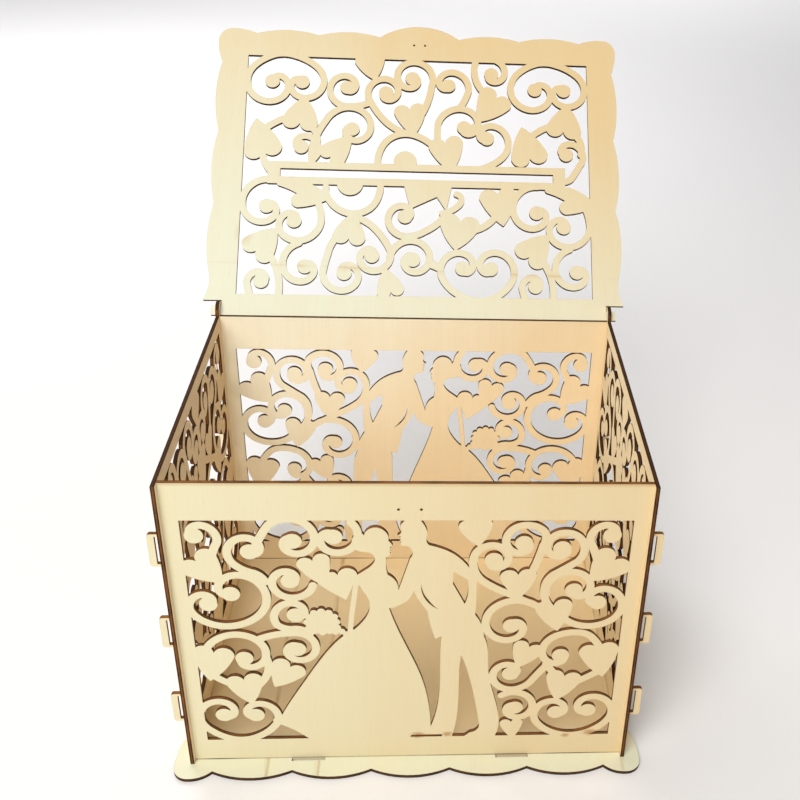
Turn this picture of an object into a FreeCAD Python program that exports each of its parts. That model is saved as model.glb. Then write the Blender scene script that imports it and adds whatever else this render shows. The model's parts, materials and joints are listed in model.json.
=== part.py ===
"""Card box of laser-cut plywood: five fretted or slotted panels, a base and a lid on two pivot tabs.

Millimetres, +Z up. The origin is the middle of the base's underside, and -Y is the front.
The lid stands at its open stop, leaning back behind the box.
"""
import FreeCAD, Part
import math
import os
import Sketcher
from FreeCAD import Placement, Rotation, Vector

SIZES = [
    ("ply_thickness", 2.5, "sheet that every piece is cut from"),
    ("case_width", 280.0, "outer face to outer face of the side panels"),
    ("side_depth", 220.5, "front edge to rear edge of a side panel"),
    ("wall_height", 216.0, "height of the walls above the base"),
    ("front_inset", 3.7, "front panel behind the side panels' front edges"),
    ("fit_gap", 0.15, "room on each side of a tab in its slot"),
    ("tab_length", 23.0, "side tabs of the front and back panels, along the edge"),
    ("tab_spacing", 61.5, "pitch of those tabs"),
    ("tab_reach", 7.0, "how far they stand out of the side panels"),
    ("tab_round", 2.0, "radius of their outer corners"),
    ("key_slot_width", 3.0, "slot in each tab, against the side panel"),
    ("key_slot_wall", 1.8, "wood above and below that slot"),
    ("foot_length", 20.8, "tabs along the bottom edges of the walls"),
    ("front_foot_pitch", 131.6, "pitch of the front and back panels' feet"),
    ("side_foot_pitch", 110.0, "pitch of the side panels' feet"),
    ("foot_room", 2.4, "open part of a front or rear foot slot, outside the panel"),
    ("base_overhang", 12.0, "base beyond the walls, front and rear"),
    ("base_side_overhang", 10.0, "base beyond the side panels"),
    ("base_scallop", 5.8, "depth of the base's scallops"),
    ("base_corner", 24.5, "length of a corner lobe along the base's front or rear edge"),
    ("base_side_corner", 40.0, "length of a corner lobe along the base's side"),
    ("lid_side_overhang", 10.0, "lid beyond the side panels"),
    ("lid_length", 223.5, "pivot to the front edge of the lid"),
    ("lid_scallop", 3.5, "depth of the lid's scallops"),
    ("lid_corner", 28.0, "length of a corner lobe along the lid's edge"),
    ("lid_flare", 25.0, "pivot to the last cusp of the lid's sides"),
    ("lid_lobe_width", 60.0, "middle lobe of the lid's front edge"),
    ("lid_lobe_rise", 6.4, "middle lobe beyond the front edge"),
    ("corner_round", 10.0, "rounding of the corner lobes"),
    ("lid_lean", 44.5, "lean of the open lid behind upright, in degrees"),
    ("lid_gap", 0.2, "closed lid above the walls' top edges"),
    ("stop_gap", 0.1, "open lid's rear corner to the back panel"),
    ("pivot_tab", 7.0, "height of the lid's pivot tabs, measured along the lid"),
    ("pivot_reach", 4.0, "pivot tabs beyond the side panels"),
    ("pivot_gap", 0.23, "turning room between a pivot tab's corners and its hole"),
    ("ear_wall", 3.1, "wood round the pivot hole"),
    ("ear_gap", 0.5, "lid notch to the side panel's ear"),
    ("front_rim_side", 9.3, "front panel's edge to its window"),
    ("front_rim_bottom", 17.7, "front panel's bottom edge to its window"),
    ("front_rim_top", 25.4, "front panel's top edge to its window"),
    ("side_rim_end", 20.0, "side panel's front or rear edge to its window"),
    ("side_rim_bottom", 17.7, "side panel's bottom edge to its window"),
    ("side_rim_top", 9.5, "side panel's top edge to its window"),
    ("lid_rim_side", 22.4, "lid's side to its window"),
    ("lid_rim_rear", 12.5, "pivot to the lid's window"),
    ("lid_rim_front", 22.0, "lid's front edge to its window"),
    ("slot_length", 200.6, "card slot, along the box"),
    ("slot_width", 6.6, "card slot, across"),
    ("slot_share", 0.4984, "card slot's place in the lid's window, from 0 at the rear to 1 at the front"),
    ("slot_border", 5.5, "least wood round the card slot"),
    ("strip_width", 5.0, "fretwork strips"),
    ("ball_radius", 5.4, "round ends of the fretwork strips"),
    ("latch_hole", 1.6, "diameter of the latch's screw holes"),
    ("case_latch_pitch", 12.8, "screw holes in the front panel"),
    ("case_latch_drop", 17.7, "top edge to the screw holes of the front panel"),
    ("lid_latch_pitch", 8.3, "screw holes in the lid"),
    ("lid_latch_setback", 9.4, "lid's front edge to its screw holes"),
]

doc = FreeCAD.newDocument("wedding_card_box")
sheet = doc.addObject("Spreadsheet::Sheet", "Sizes")
for row, (alias, value, note) in enumerate(SIZES, start=1):
    sheet.set(f"A{row}", str(value))
    sheet.setAlias(f"A{row}", alias)
    sheet.set(f"B{row}", note)
doc.recompute()


def size(alias):
    """Return the value of one cell of the sheet."""
    return float(sheet.get(alias))


def worth(expression):
    """Return the number that an expression on the sheet's cells comes to."""
    return float(sheet.evalExpression(expression))


# Lengths that several pieces share, as expressions on the sheet.
HALF_WIDTH = "Sizes.case_width / 2"
PANEL_HALF = f"({HALF_WIDTH} - Sizes.ply_thickness)"
PIVOT_HOLE = "(sqrt((Sizes.pivot_tab / 2) ^ 2 + (Sizes.ply_thickness / 2) ^ 2) + Sizes.pivot_gap)"
EAR_RADIUS = f"({PIVOT_HOLE} + Sizes.ear_wall)"
PIVOT_RISE = "(Sizes.lid_gap + Sizes.ply_thickness / 2)"
PIVOT_Y = f"(Sizes.side_depth / 2 - {EAR_RADIUS})"
PIVOT_Z = f"(Sizes.ply_thickness + Sizes.wall_height + {PIVOT_RISE})"
STOP_REACH = ("(Sizes.pivot_tab / 2 * sin(Sizes.lid_lean * 1 deg)"
              " + Sizes.ply_thickness / 2 * cos(Sizes.lid_lean * 1 deg) + Sizes.stop_gap)")
FRONT_FACE_Y = "(Sizes.front_inset - Sizes.side_depth / 2)"
BACK_FACE_Y = f"({PIVOT_Y} - {STOP_REACH})"
SLOT_WIDTH = "(Sizes.ply_thickness + 2 * Sizes.fit_gap)"
LID_WINDOW = "(Sizes.lid_length - Sizes.lid_rim_front - Sizes.lid_rim_rear)"
CARD_SLOT_PLACE = f"(Sizes.lid_rim_rear + Sizes.slot_share * {LID_WINDOW})"

# Drawing aids: how much of a line one arc follows, where a curl ends on the grid, the end of the card
# slot's bar on the lid's grid, and the least hole that is cut.
ARC_TURN = math.radians(75)
ARC_LENGTH = 30.0
LINE_STEPS = 160
CURL_STEP = 30.0
CURL_END = 3.2
BAR_END = 109.3
LEAST_OPENING = 5.0


def origin_plane(body, role):
    """Return one of a body's own origin planes."""
    return next(plane for plane in body.Origin.OriginFeatures if plane.Role == role)


def new_body(label):
    """Return an empty body that carries a sub-part's name."""
    body = doc.addObject("PartDesign::Body", label)
    body.Label = label
    doc.recompute()
    return body


def new_sketch(body, name, role):
    """Return an empty sketch on one of the body's origin planes."""
    sketch = body.newObject("Sketcher::SketchObject", name)
    sketch.AttachmentSupport = [(origin_plane(body, role), "")]
    sketch.MapMode = "FlatFace"
    doc.recompute()
    return sketch


def bind(sketch, kind, first, second, expression):
    """Add a signed distance between two points and tie it to the sheet."""
    place = sketch.addConstraint(Sketcher.Constraint(kind, *first, *second, worth(expression)))
    sketch.setExpression(f"Constraints[{place}]", expression)


def add_box(sketch, left, low, width, height):
    """Draw a rectangle whose corner and sides follow expressions."""
    x, y, w, h = (worth(text) for text in (left, low, width, height))
    corners = [Vector(x, y, 0), Vector(x + w, y, 0), Vector(x + w, y + h, 0), Vector(x, y + h, 0)]
    first = sketch.GeometryCount
    for here, there in zip(corners, corners[1:] + corners[:1]):
        sketch.addGeometry(Part.LineSegment(here, there), False)
    for side in range(4):
        sketch.addConstraint(Sketcher.Constraint("Coincident", first + side, 2, first + (side + 1) % 4, 1))
        lie = "Horizontal" if side % 2 == 0 else "Vertical"
        sketch.addConstraint(Sketcher.Constraint(lie, first + side))
    bind(sketch, "DistanceX", (-1, 1), (first, 1), left)
    bind(sketch, "DistanceY", (-1, 1), (first, 1), low)
    bind(sketch, "DistanceX", (first, 1), (first, 2), width)
    bind(sketch, "DistanceY", (first + 1, 1), (first + 1, 2), height)


def add_circle(sketch, x, y, radius):
    """Draw a circle whose centre and radius follow expressions."""
    centre = Vector(worth(x), worth(y), 0)
    circle = sketch.addGeometry(Part.Circle(centre, Vector(0, 0, 1), worth(radius)), False)
    bind(sketch, "DistanceX", (-1, 1), (circle, 3), x)
    bind(sketch, "DistanceY", (-1, 1), (circle, 3), y)
    place = sketch.addConstraint(Sketcher.Constraint("Radius", circle, worth(radius)))
    sketch.setExpression(f"Constraints[{place}]", radius)


def pad(body, name, profile, centred=False):
    """Raise a profile by the sheet's thickness."""
    feature = body.newObject("PartDesign::Pad", name)
    feature.Profile = profile
    feature.Midplane = centred
    feature.setExpression("Length", "Sizes.ply_thickness")
    doc.recompute()
    return feature


def cut_through(body, name, profile):
    """Cut a profile through the sheet, and make sure that it removed wood."""
    before = body.Shape.Volume
    feature = body.newObject("PartDesign::Pocket", name)
    feature.Profile = profile
    feature.Midplane = True
    feature.setExpression("Length", "3 * Sizes.ply_thickness")
    doc.recompute()
    if body.Shape.Volume >= before:
        raise RuntimeError(f"{name} cut nothing out of {body.Label}")
    return feature


def bound_profile(body, name, source):
    """Bring a drawn profile into a body, in the body's own coordinates."""
    binder = body.newObject("PartDesign::SubShapeBinder", name)
    binder.Relative = False
    binder.Support = [(source, "")]
    doc.recompute()
    return binder


def drawn(name, shape):
    """Keep a drawn profile as an object of the document."""
    feature = doc.addObject("Part::Feature", name)
    feature.Shape = shape
    doc.recompute()
    return feature


def on_wall(x, z):
    """Return a drawing's point on the upright plane that wall profiles are drawn on."""
    return Vector(x, 0, z)


def joined_edges(points):
    """Return arcs, each through three of the points, or lines where those are straight."""
    edges = []
    for first, middle, last in zip(points[:-2:2], points[1:-1:2], points[2::2]):
        bulge = (middle - first).cross(last - first).Length
        straight = bulge < 1e-3 * (last - first).Length
        curve = Part.LineSegment(first, last) if straight else Part.Arc(first, middle, last)
        edges.append(curve.toShape())
    return edges


def arc_stops(line, lengths):
    """Return parameters that split a line into arcs, shorter where it turns, with each arc's middle."""
    start, end = line.FirstParameter, line.LastParameter
    marks = [start + (end - start) * step / LINE_STEPS for step in range(LINE_STEPS + 1)]
    effort = [0.0]
    for here, there in zip(marks, marks[1:]):
        turn = line.tangent(here)[0].getAngle(line.tangent(there)[0])
        effort.append(effort[-1] + turn / ARC_TURN + line.length(here, there) / ARC_LENGTH)
    count = 2 * lengths * math.ceil(effort[-1] / lengths)
    stops = [start]
    mark = 0
    for stop in range(1, count):
        wanted = effort[-1] * stop / count
        while effort[mark + 1] < wanted:
            mark += 1
        share = (wanted - effort[mark]) / (effort[mark + 1] - effort[mark])
        stops.append(marks[mark] + share * (marks[mark + 1] - marks[mark]))
    return stops + [end]


def section_edge(points):
    """Return one stretch of an outline: a line, an arc through three points, or a smooth curve."""
    if len(points) == 2:
        return Part.LineSegment(*points).toShape()
    if len(points) == 3:
        return Part.Arc(*points).toShape()
    curve = Part.BSplineCurve()
    curve.interpolate(points)
    return curve.toShape()


class Fretwork:
    """Scrolls, hearts and figures that are drawn on a grid and fitted to a panel's window.

    Widths grow with the window's larger stretch, so pieces that touch on the grid touch in any window.
    """

    def __init__(self, grid, window):
        """Take the grid's and the window's left, bottom, right and top."""
        self.grid = grid
        self.window = window
        stretch_x = (window[2] - window[0]) / (grid[2] - grid[0])
        stretch_z = (window[3] - window[1]) / (grid[3] - grid[1])
        self.growth = max(stretch_x, stretch_z)
        self.pieces = []

    def place(self, point):
        """Return the spot in the window of a point on the grid."""
        share_x = (point[0] - self.grid[0]) / (self.grid[2] - self.grid[0])
        share_z = (point[1] - self.grid[1]) / (self.grid[3] - self.grid[1])
        left, low, right, top = self.window
        return on_wall(left + share_x * (right - left), low + share_z * (top - low))

    def curl(self, eye, reach, start, sweep, decay=1.3):
        """Return grid points that wind in from reach to the eye, the outermost first."""
        last = (1 - CURL_END / reach) ** (1 / decay)
        steps = max(4, math.ceil(abs(sweep) * last / CURL_STEP))
        points = []
        for step in range(steps + 1):
            share = last * step / steps
            turn = math.radians(start + sweep * share)
            radius = reach * (1 - share ** decay)
            points.append((eye[0] + radius * math.cos(turn), eye[1] + radius * math.sin(turn)))
        return points

    def strip(self, points, half=None, lengths=1):
        """Add a strip of even width and round ends along a smooth line, in one or more lengths."""
        half = (half or size("strip_width") / 2) * self.growth
        line = Part.BSplineCurve()
        line.interpolate([self.place(point) for point in points])
        stops = arc_stops(line, lengths)
        step = (len(stops) - 1) // lengths
        for first in range(0, len(stops) - 1, step):
            spots = [line.value(stop) for stop in stops[first:first + step + 1]]
            ways = [line.tangent(stop)[0] * half for stop in stops[first:first + step + 1]]
            left = [spot + Vector(-way.z, 0, way.x) for spot, way in zip(spots, ways)]
            right = [spot - Vector(-way.z, 0, way.x) for spot, way in zip(spots, ways)]
            edges = joined_edges(left) + joined_edges(right)
            edges.append(Part.Arc(left[0], spots[0] - ways[0], right[0]).toShape())
            edges.append(Part.Arc(left[-1], spots[-1] + ways[-1], right[-1]).toShape())
            self.pieces.append(Part.Face(Part.Wire(Part.__sortEdges__(edges))))

    def ball(self, eye, radius=None):
        """Add the round end of a strip."""
        radius = (radius or size("ball_radius")) * self.growth
        circle = Part.Circle(self.place(eye), Vector(0, -1, 0), radius)
        self.pieces.append(Part.Face(Part.Wire(circle.toShape())))

    def scroll(self, eye, reach, start, sweep, decay=1.3, tail=()):
        """Add a strip that winds into a ball, with a tail from its outer end."""
        self.strip(list(reversed(tail)) + self.curl(eye, reach, start, sweep, decay))
        self.ball(eye)

    def pair(self, first, middle, second):
        """Add one strip that winds into a ball at both ends."""
        outward = list(reversed(self.curl(*first)))
        self.strip(outward + list(middle) + self.curl(*second), lengths=2)
        self.ball(first[0])
        self.ball(second[0])

    def heart(self, tip, crown, width):
        """Add a heart from its tip to the middle of its crown."""
        base = self.place(tip)
        up = self.place(crown) - base
        rise = up.Length
        up.normalize()
        out = Vector(up.z, 0, -up.x)
        half = width * self.growth / 2
        shoulder = rise - half / 2
        notch = shoulder + half / 8

        def spot(side, height):
            return base + out * side + up * height

        edges = []
        for hand in (half, -half):
            edges.append(section_edge([spot(0, 0), spot(0.62 * hand, 0.46 * shoulder), spot(hand, shoulder)]))
            edges.append(section_edge([spot(hand, shoulder), spot(hand / 2, rise), spot(0, notch)]))
        self.pieces.append(Part.Face(Part.Wire(Part.__sortEdges__(edges))))

    def figure(self, sections, holes=()):
        """Add a flat figure whose outline is a ring of lines, arcs and smooth curves."""
        face = self.ring_face(sections)
        if holes:
            face = face.cut([self.ring_face(hole) for hole in holes])
        self.pieces.append(face)

    def ring_face(self, sections):
        """Return the face inside a ring of stretches that each start where the last one ends."""
        edges = []
        for here, there in zip(sections, sections[1:] + sections[:1]):
            edges.append(section_edge([self.place(point) for point in here + [there[0]]]))
        return Part.Face(Part.Wire(edges))

    def openings(self):
        """Return what is cut out: the window less everything that is drawn in it."""
        left, low, right, top = self.window
        corners = [on_wall(left, low), on_wall(right, low), on_wall(right, top), on_wall(left, top)]
        pane = Part.Face(Part.makePolygon(corners + corners[:1]))
        faces = pane.cut(self.pieces).Faces
        return Part.Compound([face for face in faces if face.Area > LEAST_OPENING])


def left_scrolls(fret):
    """Draw the scrolls and hearts to the left of the couple."""
    fret.scroll((-121, 182.5), 14, -40, 205, tail=[(-113, 165)])
    fret.heart((-108, 148.5), (-124.5, 168), 25)
    fret.scroll((-91, 171), 13, 212, -290, 1.6, tail=[(-97, 159), (-90.5, 156), (-83.5, 149)])
    fret.pair(((-104, 140), 22, -40, 265), [(-109, 115.3)], ((-117.5, 132.5), 12.5, 235, -255))
    fret.scroll((-66.5, 178.5), 17.8, 170, -455, 1.2, tail=[(-87, 176)])
    fret.scroll((-43.5, 181.5), 14.5, 45, -335, 1.6)
    fret.heart((-50, 146), (-57, 168), 20)
    fret.scroll((-69.5, 149.5), 13.5, -14, -395, 1.6)
    fret.scroll((-67.5, 123.5), 13.5, 215, -290, tail=[(-72, 113.3), (-60, 109)])
    fret.scroll((-100, 89.5), 23, 155, -330, 1.05, tail=[(-123, 92)])
    fret.heart((-122, 71), (-117, 99), 25)
    fret.heart((-98, 51), (-102.5, 76), 23)
    fret.strip([(-87, 90), (-86.3, 80), (-90, 71), (-97, 64)])
    fret.strip([(-121, 77), (-113, 70.5), (-105, 66.5)])
    fret.scroll((-68, 96.5), 13, 100, -445, tail=[(-78, 108.8), (-90, 105)])
    fret.heart((-83.5, 65.5), (-71, 85.5), 22)
    fret.pair(((-116, 42), 16, 230, -300, 1.6), [(-107.5, 20)], ((-96.5, 41.5), 15, -50, 300))
    fret.strip([(-83.8, 36.5), (-79, 37)])


def right_scrolls(fret):
    """Draw the scrolls and hearts to the right of the couple."""
    fret.heart((39.5, 174.5), (36.5, 194), 20)
    fret.scroll((48.5, 164.5), 12, 185, -385, 1.6, tail=[(38.8, 153.5), (46, 146), (61, 138)])
    fret.scroll((65.5, 176.8), 14, 30, 385, 1.4, tail=[(77, 176), (73.5, 162), (70, 152)])
    fret.scroll((88, 173), 13, 0, 425, 1.3,
                tail=[(99, 165), (91, 158.5), (81.5, 150.5), (79.3, 140), (82.5, 130)])
    fret.heart((64.5, 135.5), (63, 157.5), 22)
    fret.scroll((97, 141.5), 17, 190, -330, 1.4)
    fret.heart((89, 109.5), (85, 134), 23)
    fret.scroll((112, 132), 17, -60, 300, tail=[(106, 113.5), (93, 119)])
    fret.strip([(62, 137), (70, 132.5), (80, 127.5)])
    fret.scroll((61, 114), 21, 55, 430, 1.1)
    fret.heart((66, 79.5), (74, 100), 20)
    fret.scroll((62, 74.5), 14, -50, -375, 1.4, tail=[(76, 69), (86, 84)])
    fret.scroll((92.5, 89.5), 20, 70, 305, 0.8, tail=[(106, 107.5), (113.5, 101), (118, 92)])
    fret.heart((120, 71), (115, 99), 25)
    fret.heart((92, 51), (97, 76), 23)
    fret.strip([(119, 77), (111, 71.5), (102, 66)])
    fret.strip([(84, 83), (87.5, 77), (93, 70)])
    fret.scroll((66, 45), 14, 130, -435)
    fret.heart((65.5, 17.5), (64, 35), 15)
    fret.pair(((92.5, 40.5), 15, 225, -300), [(105.5, 20)], ((113, 42), 16.5, -50, 300, 1.6))
    fret.scroll((116.5, 182.5), 14, 220, -205, tail=[(109, 165)])
    fret.heart((106, 148.5), (122.5, 168), 25)


def bouquet(fret):
    """Draw a bunch with a petalled edge, whose last petals trail to the hand."""
    middle = (-52.5, 118.0)
    fret.ball(middle, 8.4)
    for petal in range(12):
        turn = math.tau * petal / 12
        fret.ball((middle[0] + 8.6 * math.cos(turn), middle[1] + 8.2 * math.sin(turn)), 2.4)
    for petal in ((-43.4, 113.6), (-40.9, 110.6), (-44.8, 110.2), (-38.3, 108.4)):
        fret.ball(petal, 2.2)


def couple(fret):
    """Draw a bride and a groom face to face, as plain silhouettes."""
    fret.figure([
        [(-20.0, 166.5), (-21.5, 162.0), (-25.0, 158.3)],
        [(-30.5, 154.0), (-36.5, 159.0)],
        [(-42.0, 153.5), (-45.0, 156.2)],
        [(-48.0, 154.8)],
        [(-54.0, 153.0)],
        [(-53.5, 147.5), (-45.0, 140.3)],
        [(-37.5, 135.0)],
        [(-33.0, 147.0)],
        [(-29.5, 146.0)],
        [(-27.5, 141.5), (-24.2, 134.0), (-24.0, 128.5), (-27.5, 119.5)],
        [(-33.0, 112.5), (-40.0, 107.0), (-52.0, 92.0), (-65.0, 70.0), (-81.0, 40.0)],
        [(-83.5, 34.0), (-72.5, 27.0)],
        [(-62.5, 18.0)],
        [(-1.0, 18.0)],
        [(0.5, 21.8), (8.0, 23.7)],
        [(12.8, 29.5), (11.3, 50.0), (8.0, 68.0), (0.0, 92.0)],
        [(-12.5, 128.5), (-4.0, 132.0)],
        [(2.0, 141.5)],
        [(-7.0, 142.0), (-8.0, 148.5)],
        [(-13.0, 154.0), (-13.8, 159.0)],
        [(-13.6, 166.0)],
    ])
    fret.figure([
        [(-13.6, 164.0), (-13.4, 167.0)],
        [(-12.0, 167.6), (-11.2, 169.0)],
        [(-11.8, 170.6), (-11.0, 171.4)],
        [(-11.6, 172.2), (-10.9, 173.0)],
        [(-11.7, 174.2)],
        [(-9.9, 175.2), (-10.6, 176.7)],
        [(-12.3, 178.9), (-12.2, 181.6), (-14.2, 185.6), (-19.0, 188.3), (-24.0, 186.6)],
        [(-26.0, 182.5), (-28.0, 184.4)],
        [(-31.5, 182.5), (-33.0, 176.5), (-30.0, 171.6), (-24.5, 170.4)],
        [(-20.3, 164.0)],
    ])
    fret.strip([(-31.3, 148.5), (-33.6, 132.0), (-36.0, 110.0)], 1.6)
    bouquet(fret)
    arm_gap = [[(25.2, 156.0)], [(33.5, 150.0), (34.2, 141.0)], [(32.3, 131.5)], [(25.0, 147.0)]]
    lapel_cut = [[(6.5, 147.5), (9.4, 134.5)], [(16.5, 127.5), (10.6, 134.8)]]
    fret.figure([
        [(-1.5, 195.0)],
        [(-4.6, 191.2), (-5.6, 189.0)],
        [(-5.2, 186.6), (-5.0, 185.6)],
        [(-7.2, 182.8)],
        [(-5.2, 181.9), (-5.9, 180.7)],
        [(-5.2, 179.9), (-5.8, 178.9)],
        [(-5.0, 178.0), (-5.6, 176.2)],
        [(-4.0, 174.9), (-1.2, 174.6)],
        [(0.9, 172.0), (1.4, 169.4)],
        [(0.0, 166.0)],
        [(-7.0, 142.0)],
        [(2.0, 141.5), (6.0, 132.5)],
        [(10.0, 126.0), (11.8, 116.0)],
        [(15.0, 103.8)],
        [(18.6, 106.0), (18.2, 70.0), (16.5, 45.0)],
        [(12.8, 29.5), (9.0, 24.5)],
        [(2.5, 22.0)],
        [(20.0, 22.0)],
        [(20.0, 18.0)],
        [(26.0, 18.0), (28.4, 30.0), (30.0, 50.0), (30.2, 80.0)],
        [(31.0, 90.5), (38.0, 65.0), (42.0, 42.0)],
        [(43.7, 30.0), (42.0, 25.5)],
        [(38.0, 23.5)],
        [(32.0, 18.0)],
        [(53.5, 18.0), (56.3, 32.0), (52.5, 55.0), (48.0, 80.0), (47.0, 97.0)],
        [(44.5, 106.0), (41.0, 119.3)],
        [(38.8, 123.0), (39.2, 137.0)],
        [(38.8, 150.0), (34.0, 159.5), (24.0, 170.0), (16.0, 174.0)],
        [(11.0, 175.6), (9.4, 178.5), (9.9, 184.0), (8.6, 189.0)],
        [(4.5, 195.0)],
    ], holes=[arm_gap, lapel_cut])


def lid_end(fret, across, up):
    """Draw the scrolls and hearts that fill one end of the lid's window."""

    def at(x, s):
        return (x + across, s + up)

    fret.pair((at(-109, 180.5), 18.5, 150, 305, 2.4), [at(-117, 198), at(-104, 203.5), at(-89, 201)],
              (at(-87, 180.5), 16.5, 45, -310, 1.8))
    fret.heart(at(-84.5, 168.5), at(-88.5, 141.5), 27)
    fret.strip([at(-98, 150.5), at(-106, 146.5), at(-114, 140)])
    fret.heart(at(-119.5, 149.5), at(-112, 118.5), 28)
    fret.strip([at(-83, 146), at(-76, 140), at(-75, 128)])
    fret.scroll(at(-109, 80), 20.5, 115, 340, 1.1, tail=[at(-108, 101)])
    fret.heart(at(-63.5, 87), at(-91, 91), 22)
    fret.strip([at(-100, 98.5), at(-92, 95.5), at(-84, 91)])
    fret.scroll(at(-89, 69), 20.5, 25, -385, 1.1, tail=[at(-74, 88)])
    fret.scroll(at(-80, 34), 18.5, 105, 350, 1.2)
    fret.heart(at(-100.5, 63), at(-118, 41.5), 26)
    fret.strip([at(-105, 42), at(-99, 29), at(-98.5, 8)])
    fret.scroll(at(-110.5, 22.5), 10.5, 215, -260, tail=[at(-120, 6)])


def lid_scrolls(fret):
    """Draw the lid's scrolls and hearts, above and below the bar with the card slot."""
    lid_end(fret, 0, 0)
    lid_end(fret, 196.5, -1)
    fret.scroll((-86, 127.5), 13.5, -50, 255, 1.6, tail=[(-76.5, 113)])
    fret.scroll((110.5, 126.5), 13.5, -50, 255, 1.6, tail=[(115.5, 109), (106, 104.5)])
    fret.strip([(-114, 123), (-111, 113), (-106, 106)])
    fret.heart((-49, 137.5), (-67, 117), 22)
    fret.scroll((-49, 143), 19.5, 140, -400, 1.1, tail=[(-70, 147), (-76.5, 133), (-77, 112)])
    fret.scroll((-53.5, 177), 16, 285, -435, 1.1, tail=[(-38, 164.5)])
    fret.heart((-33, 183.5), (-38.5, 206), 23)
    fret.scroll((-24.5, 173.5), 14, 220, -440, 1.4, tail=[(-27.5, 153), (-9, 140.5)])
    fret.scroll((-5, 186), 15.5, -20, 440, 1.6, tail=[(8, 172), (3, 158)])
    fret.heart((-3.5, 138.5), (-7.5, 164.5), 24)
    fret.strip([(-29.5, 112), (-28.5, 125), (-22, 135.5), (-10, 140.3), (0, 138.3), (11, 131)])
    fret.ball((-9.5, 117.5), 8.5)
    fret.heart((25, 110), (19, 138), 26)
    fret.scroll((34, 146.5), 21, 200, -355, 1.1, tail=[(15, 131)])
    fret.scroll((22, 181), 17, -45, 345, 1.1, tail=[(31, 163)])
    fret.scroll((51, 138), 18, -35, 295, 0.95, tail=[(58, 119), (46, 113)])
    fret.strip([(41, 147), (47, 143.5)], 3)
    fret.strip([(44, 206), (42, 190), (45.5, 180.5), (53, 173)])
    fret.scroll((54.5, 191.5), 12.5, 70, -265, 1.2)
    fret.heart((44.5, 151.5), (61, 176), 27)
    fret.ball((-49.5, 99.5), 9.6)
    fret.strip([(-67, 96), (-63, 84), (-47.5, 75.5), (-34, 80.5), (-28.5, 90), (-28, 104)])
    fret.heart((-47, 76), (-50, 51.5), 24)
    fret.scroll((-32.5, 43), 14, 40, -400, 1.5, tail=[(-30, 63.5), (-47, 73.5)])
    fret.scroll((-52, 29.5), 15.5, 150, 395, 1.6, tail=[(-63.5, 46), (-57, 58)])
    fret.figure([[(-11, 104)], [(-10, 98)], [(-5.5, 80), (5, 85.5)], [(14, 90)], [(21, 79)], [(26, 104)]])
    fret.scroll((-9, 74), 16.5, -55, -370, 1.2, tail=[(10, 65.5), (20, 75)])
    fret.heart((27.5, 48.5), (32, 76), 30)
    fret.strip([(18, 77), (25, 80), (30.5, 84), (32, 89.5), (28.5, 92.5)], 2.3)
    fret.heart((63, 68), (58, 98), 28)
    fret.strip([(42, 64.5), (51, 69), (58, 77)])
    fret.scroll((-3, 40.5), 16, 150, -490, 1.2, tail=[(-19.5, 43)])
    fret.pair(((33, 34.5), 17, 225, -340), [(34, 12.5), (49, 10)], ((53.5, 34.5), 19, -55, 350, 1.2))
    fret.strip([(9, 38), (16, 35)], 3)
    fret.heart((-23, 34), (-17.5, 12), 20)


def side_scrolls(fret, middle):
    """Draw the side panels' scrolls: one half, its mirror image and hearts between them."""
    right_scrolls(fret)
    half = fret.pieces
    plane_spot = fret.place((middle, 0))
    mirrored = [face.mirror(plane_spot, Vector(1, 0, 0)) for face in half]
    fret.pieces = half + mirrored
    for tip, crown, width in ((128, 158, 24), (92, 122, 26), (54, 86, 30), (16, 48, 34)):
        fret.heart((middle, tip), (middle, crown), width)
    fret.strip([(middle, 150), (middle, 196)], 3.4)


def scalloped_edge(start, end, count, depth):
    """Return the arcs of a scalloped edge; they bulge to the right of the way they run."""
    step = (end - start) * (1 / count)
    out = Vector(step.y, -step.x, 0).normalize() * depth
    arcs = []
    for scallop in range(count):
        first = start + step * scallop
        arcs.append(Part.Arc(first, first + step * 0.5 + out, first + step).toShape())
    return arcs


def corner_lobe(first, corner, last, rounding):
    """Return the arcs of a lobe that fills a corner between two cusps."""
    into = (first - corner).normalize()
    onward = (last - corner).normalize()
    along = Vector(round(into.x), round(into.y), 0)
    beyond = Vector(round(onward.x), round(onward.y), 0)
    before = corner + along * rounding
    after = corner + beyond * rounding
    middle = corner + (along + beyond) * (rounding * (1 - math.sqrt(0.5)))
    approach = (first + before) * 0.5 - beyond * ((first - before).dot(beyond) * 0.32)
    leave = (last + after) * 0.5 - along * ((last - after).dot(along) * 0.32)
    return [
        Part.Arc(first, approach, before).toShape(),
        Part.Arc(before, middle, after).toShape(),
        Part.Arc(after, leave, last).toShape(),
    ]


def base_outline():
    """Return the base's scalloped face."""
    half_x = size("case_width") / 2 + size("base_side_overhang")
    half_y = size("side_depth") / 2 + size("base_overhang")
    depth = size("base_scallop")
    cusp_x = half_x - size("base_corner")
    cusp_y = half_y - size("base_side_corner")
    in_x = half_x - depth
    in_y = half_y - depth
    edges = []
    runs = [
        (Vector(-cusp_x, -in_y, 0), Vector(cusp_x, -in_y, 0), 5, Vector(half_x, -half_y, 0)),
        (Vector(in_x, -cusp_y, 0), Vector(in_x, cusp_y, 0), 3, Vector(half_x, half_y, 0)),
        (Vector(cusp_x, in_y, 0), Vector(-cusp_x, in_y, 0), 5, Vector(-half_x, half_y, 0)),
        (Vector(-in_x, cusp_y, 0), Vector(-in_x, -cusp_y, 0), 3, Vector(-half_x, -half_y, 0)),
    ]
    for (start, end, count, corner), (following, *_) in zip(runs, runs[1:] + runs[:1]):
        edges += scalloped_edge(start, end, count, depth)
        edges += corner_lobe(end, corner, following, size("corner_round"))
    return Part.Face(Part.Wire(edges))


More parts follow.
